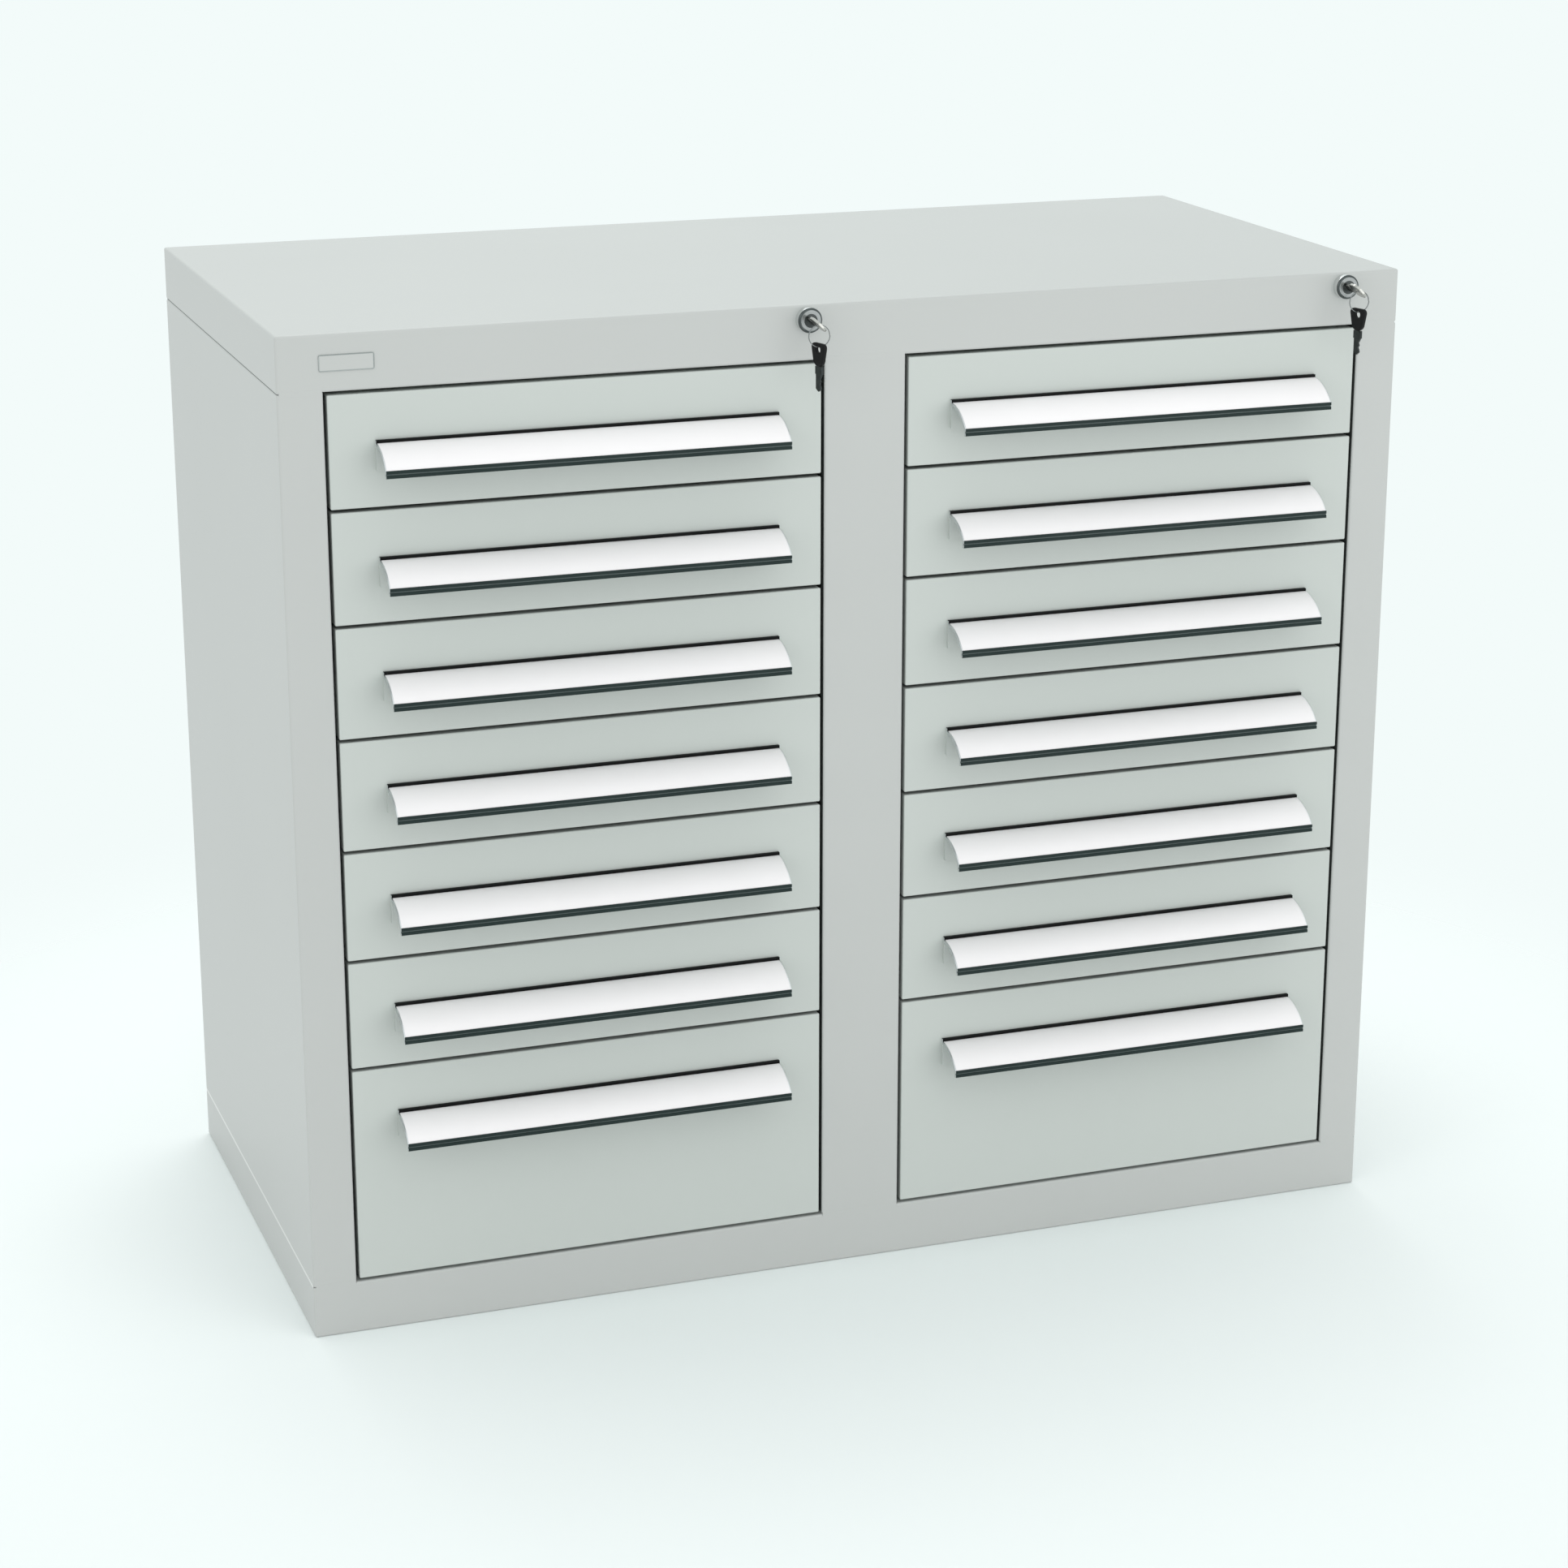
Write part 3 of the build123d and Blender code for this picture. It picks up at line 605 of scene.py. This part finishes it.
for side in columns:
    lock, spare = side + "_lock", side + "_spare"
    key, spareKey = [side + "_key"], [spare + "_key"]
    low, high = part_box(side + "_key")
    lockX, lockZ = (low.x + high.x) / 2, (low.z + high.z) / 2
    shoulder = Vector((lockX, low.y + keyShape["flat"]["length"], lockZ))
    across, along = sin(keyShape["lean"]), cos(keyShape["lean"])
    outwards = Matrix(((-across, -along, 0), (0, 0, -1), (along, -across, 0))).to_4x4()
    inLock = Matrix.Translation(shoulder) @ outwards
    addPiece(side + "_key_bow", placed(makeBow("flat"), inLock), [nickel], lock, key)
    addPiece(side + "_key_blade", placed(makeBlade(), inLock), [nickel], lock, key)
    low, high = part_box(spare + "_key")
    hangY = (low.y + high.y) / 2
    hangZ = low.z + keyShape["bladeLength"] + keyShape["neckLength"]
    twist = Matrix.Rotation(-keyShape["spareTwist"], 4, "Z")
    hanging = Matrix.Translation((lockX, hangY, hangZ)) @ twist
    onLock = Matrix.Translation((lockX, hangY, lockZ - ringShape["radius"]))
    bow = placed(makeBow("moulded"), hanging)
    addPiece(spare + "_bow", bow, [bowPlastic], spare, spareKey)
    addPiece(spare + "_blade", placed(makeBlade(), hanging), [darkSteel], spare, spareKey)
    addPiece(spare + "_ring", placed(makeRing(), onLock), [satin], spare, spareKey)
print("keys made")


blankPlate = {
    "width": 47 * mm,
    "height": 14 * mm,
    "thick": 0.7 * mm,
    "corner": 1.4 * mm,
    "cornerSteps": 6,
    "border": 0.9 * mm,
    "sunk": 0.2 * mm,
    "fromSide": 59.5 * mm,  # cabinet's left edge to the plate's middle
    "fromTop": 24.3 * mm,
}


def makeBlankPlate():
    plate = blankPlate
    low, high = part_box("top_cover")
    middle = Vector((low.x + plate["fromSide"], low.y, high.z - plate["fromTop"]))
    x, z = plate["width"] / 2, plate["height"] / 2
    bm = bmesh.new()
    face = makeFlat(bm, [(-x, 0, -z), (x, 0, -z), (x, 0, z), (-x, 0, z)])
    roundCorners(bm, face, plate["corner"], plate["cornerSteps"])
    thicken(bm, -plate["thick"])
    front = [face for face in bm.faces if face.normal.y < -faceTest["square"]]
    bmesh.ops.inset_individual(
        bm, faces=front, thickness=plate["border"], depth=-plate["sunk"], use_even_offset=True,
    )
    front[0].material_index = 1  # the field inside the border
    softenEdges(bm, plate["sunk"] / 2, sharpAngle["outline"])
    placed(bm, Matrix.Translation(middle))
    addPiece("blank_plate", bm, [plateMetal, housingPaint], "cabinet")


makeBlankPlate()
print("plate made")


seam = {
    "fold": 2 * mm,  # outer radius of the housing's folds
    "overlap": 0.4 * mm,
    "drawerGap": 0.8 * mm,  # weld's end to the stile's edge beside the drawers
    "proud": 0.06 * mm,
    "thick": 0.3 * mm,
    "edge": 0.05 * mm,
    "footHighlight": {"half": 1.4 * mm, "sunk": 0.03 * mm},  # painted highlight: light strip along the sides over the base pan
    "joint": {"half": 0.4 * mm, "sunk": 0.75 * mm},  # painted shade: dark strip in the fold along the sides under the top cover
    "backGap": 1.2 * mm,  # back panel's edge to the pan above or below it
    "backEnd": 1.5 * mm,
}
weldGaps = {  # left and right end of a weld to the edges of the stile
    "left_side_panel": (seam["fold"], seam["drawerGap"]),
    "centre_post": (seam["drawerGap"], seam["drawerGap"]),
    "right_side_panel": (seam["drawerGap"], seam["fold"]),
}


def addSeam(name, corners, thick, axis=1, paint=housingPaint):
    bm = bmesh.new()
    makeFlat(bm, corners)
    thicken(bm, thick, axis)
    softenEdges(bm, seam["edge"])
    addPiece(name, bm, [paint], "cabinet")


def fillFrontSeam(name, node, z):  # dressed weld over the folds of a stile and a pan
    low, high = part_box(node)
    leftGap, rightGap = weldGaps[node]
    left, right = low.x + leftGap, high.x - rightGap
    half = seam["fold"] + seam["overlap"]
    y = low.y + seam["thick"] - seam["proud"]
    corners = [(left, y, z - half), (right, y, z - half), (right, y, z + half), (left, y, z + half)]
    addSeam(name, corners, -seam["thick"])


def fillBackSeam(name, edge, upwards):  # strip on the back panel's edge that closes the slot to the pan
    low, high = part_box("back_panel")
    left, right, y = low.x + seam["backEnd"], high.x - seam["backEnd"], high.y
    inner, outer = edge - upwards * seam["overlap"], edge + upwards * seam["backGap"]
    corners = [(left, y, inner), (right, y, inner), (right, y, outer), (left, y, outer)]
    addSeam(name, corners, seam["thick"])


def fillSideSeam(name, side, z, strip, paint):  # strip in the fold between a side panel and a pan, in a painted highlight or painted shade colour
    low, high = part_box(side + "_side_panel")
    wall, inwards = (low.x, 1) if side == "left" else (high.x, -1)
    x = wall + inwards * strip["sunk"]
    front, rear = low.y + seam["fold"], high.y - seam["fold"]
    under, over = z - strip["half"], z + strip["half"]
    corners = [(x, front, under), (x, rear, under), (x, rear, over), (x, front, over)]
    addSeam(name, corners, inwards * seam["thick"], 0, paint)


for node in weldGaps:
    low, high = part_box(node)
    fillFrontSeam(node + "_top_seam", node, high.z)
    fillFrontSeam(node + "_foot_seam", node, low.z)
low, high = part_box("back_panel")
fillBackSeam("back_top_seam", high.z, 1)
fillBackSeam("back_foot_seam", low.z, -1)
for side in columns:
    low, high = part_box(side + "_side_panel")
    # painted highlight: a light strip along the foot of each side
    fillSideSeam(side + "_foot_highlight", side, low.z, seam["footHighlight"], paintedFootHighlight)
    # painted shade: a dark strip in the fold under the top cover
    fillSideSeam(side + "_cover_shade", side, high.z, seam["joint"], paintedGapShade)
print("seams closed")


studio = {  # metres and watts
    "floorSize": 12.0,
    "floorColour": (0.90, 0.90, 0.90),
    "floorSeen": (0.860, 0.926, 0.918),  # as the camera and reflections see it
    "fadeFrom": 0.5,  # distance at which the floor starts to fade into the background
    "fadeTo": 1.4,
    "background": (0.896, 0.965, 0.956),
    "skyColour": (1.0, 1.0, 1.0),
    "skyStrength": 1.0,
    "lamps": {
        "left key": {"place": (-3.6, -1.6, 2.6), "size": 2.8, "power": 12.0},
        "front fill": {"place": (1.9, -3.9, 0.9), "size": 3.2, "power": 26.0},
        "front top": {"place": (0.2, -2.4, 3.2), "size": 3.4, "power": 8.0},
        "rear top": {"place": (0.1, 1.8, 3.2), "size": 2.4, "power": 22.0},
    },
    "aim": (0.0, 0.0, 0.45),
}


def seenDirectly(flow):  # one where the camera, a reflection or glass sees it, else zero
    camera, glossy, clear = (
        flow.node("ShaderNodeLightPath", output=ray)
        for ray in ("Is Camera Ray", "Is Glossy Ray", "Is Transmission Ray")
    )
    return flow.sum("MAXIMUM", camera, flow.sum("MAXIMUM", glossy, clear))


def makeFloor():
    bm = bmesh.new()
    bmesh.ops.create_grid(bm, x_segments=1, y_segments=1, size=studio["floorSize"] / 2)
    mesh = bpy.data.meshes.new("floor")
    bm.to_mesh(mesh)
    bm.free()
    material, flow = startFinish("floor")
    place = objectPlace(flow)
    distance = flow.node("ShaderNodeVectorMath", {"operation": "LENGTH"}, {0: place}, "Value")
    fade = flow.node("ShaderNodeMapRange", {"interpolation_type": "SMOOTHERSTEP"}, {
        "Value": distance, "From Min": studio["fadeFrom"], "From Max": studio["fadeTo"],
    })
    colour = mixColours(flow, seenDirectly(flow), studio["floorColour"], studio["floorSeen"])
    ground = flow.node("ShaderNodeBsdfDiffuse", None, {"Color": colour})
    beyond = flow.node("ShaderNodeBsdfTransparent")
    closeFinish(flow, flow.node("ShaderNodeMixShader", None, {0: fade, 1: ground, 2: beyond}))
    mesh.materials.append(material)
    floor = bpy.data.objects.new("floor", mesh)
    bpy.context.scene.collection.objects.link(floor)


def makeSky():
    world = bpy.data.worlds.new("studio")
    world.use_nodes = True
    world.node_tree.nodes.clear()
    flow = Flow(world.node_tree)
    colour = mixColours(flow, seenDirectly(flow), studio["skyColour"], studio["background"])
    sky = flow.node("ShaderNodeBackground", None, {"Color": colour, "Strength": studio["skyStrength"]})
    flow.node("ShaderNodeOutputWorld", None, {"Surface": sky})
    bpy.context.scene.world = world


def makeLamps():
    for name, lamp in studio["lamps"].items():
        light = bpy.data.lights.new(name, "AREA")
        light.shape = "DISK"
        light.size = lamp["size"]
        light.energy = lamp["power"]
        holder = bpy.data.objects.new(name, light)
        holder.location = lamp["place"]
        aim = Vector(studio["aim"]) - holder.location
        holder.rotation_euler = aim.to_track_quat("-Z", "Y").to_euler()
        bpy.context.scene.collection.objects.link(holder)


view = {
    "place": (-1.108, -3.149, 1.434),
    "down": 17.27,  # degrees below level
    "across": -19.49,  # degrees from straight on, below zero where it looks to the right
    "lens": 83.5,
    "farthest": 200,  # metres that the camera sees
}


def makeCamera():
    camera = bpy.data.cameras.new("camera")
    camera.lens = view["lens"]
    camera.clip_end = view["farthest"]
    holder = bpy.data.objects.new("camera", camera)
    holder.location = view["place"]
    holder.rotation_euler = (radians(90 - view["down"]), 0, radians(view["across"]))
    bpy.context.scene.collection.objects.link(holder)
    bpy.context.scene.camera = holder


makeFloor()
makeSky()
makeLamps()
makeCamera()
bpy.context.scene.view_settings.view_transform = "Standard"
print("studio ready")
